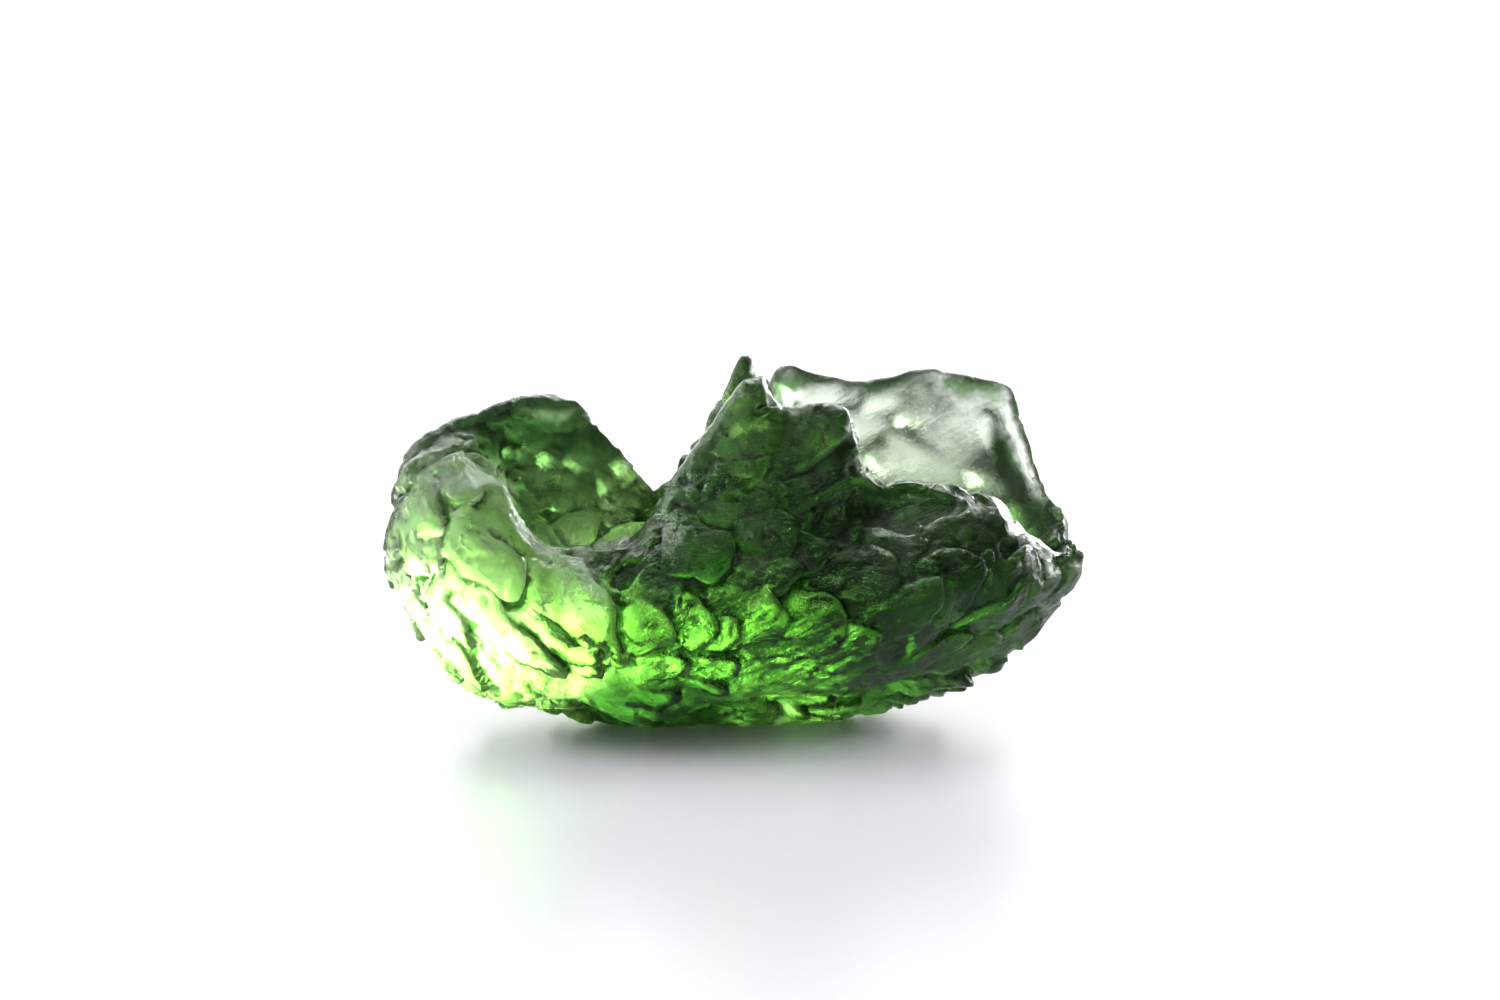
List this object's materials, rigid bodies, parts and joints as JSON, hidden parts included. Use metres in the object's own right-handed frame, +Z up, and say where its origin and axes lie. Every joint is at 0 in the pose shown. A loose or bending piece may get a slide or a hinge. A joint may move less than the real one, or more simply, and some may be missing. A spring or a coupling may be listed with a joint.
{
  "type": "moldavite",
  "caption": "Rough moldavite, a bowl-shaped piece of translucent green natural glass with an etched, scaly surface and a torn, peaked rim, which rests on a small flat spot.",
  "frame": {"origin": "centre of the stone's box in X and Y, on the plane of the flat spot that it rests on", "axes": "+X to the right along its longest side, +Y from the showy front to the back, +Z up"},
  "size_m": [0.0278, 0.017, 0.0146],
  "materials": {
    "green_glass": "natural bottle green glass, etched satin with glossy spots"
  },
  "bodies": {
    "root": {"moldavite": "green_glass"}
  },
  "joints": []
}
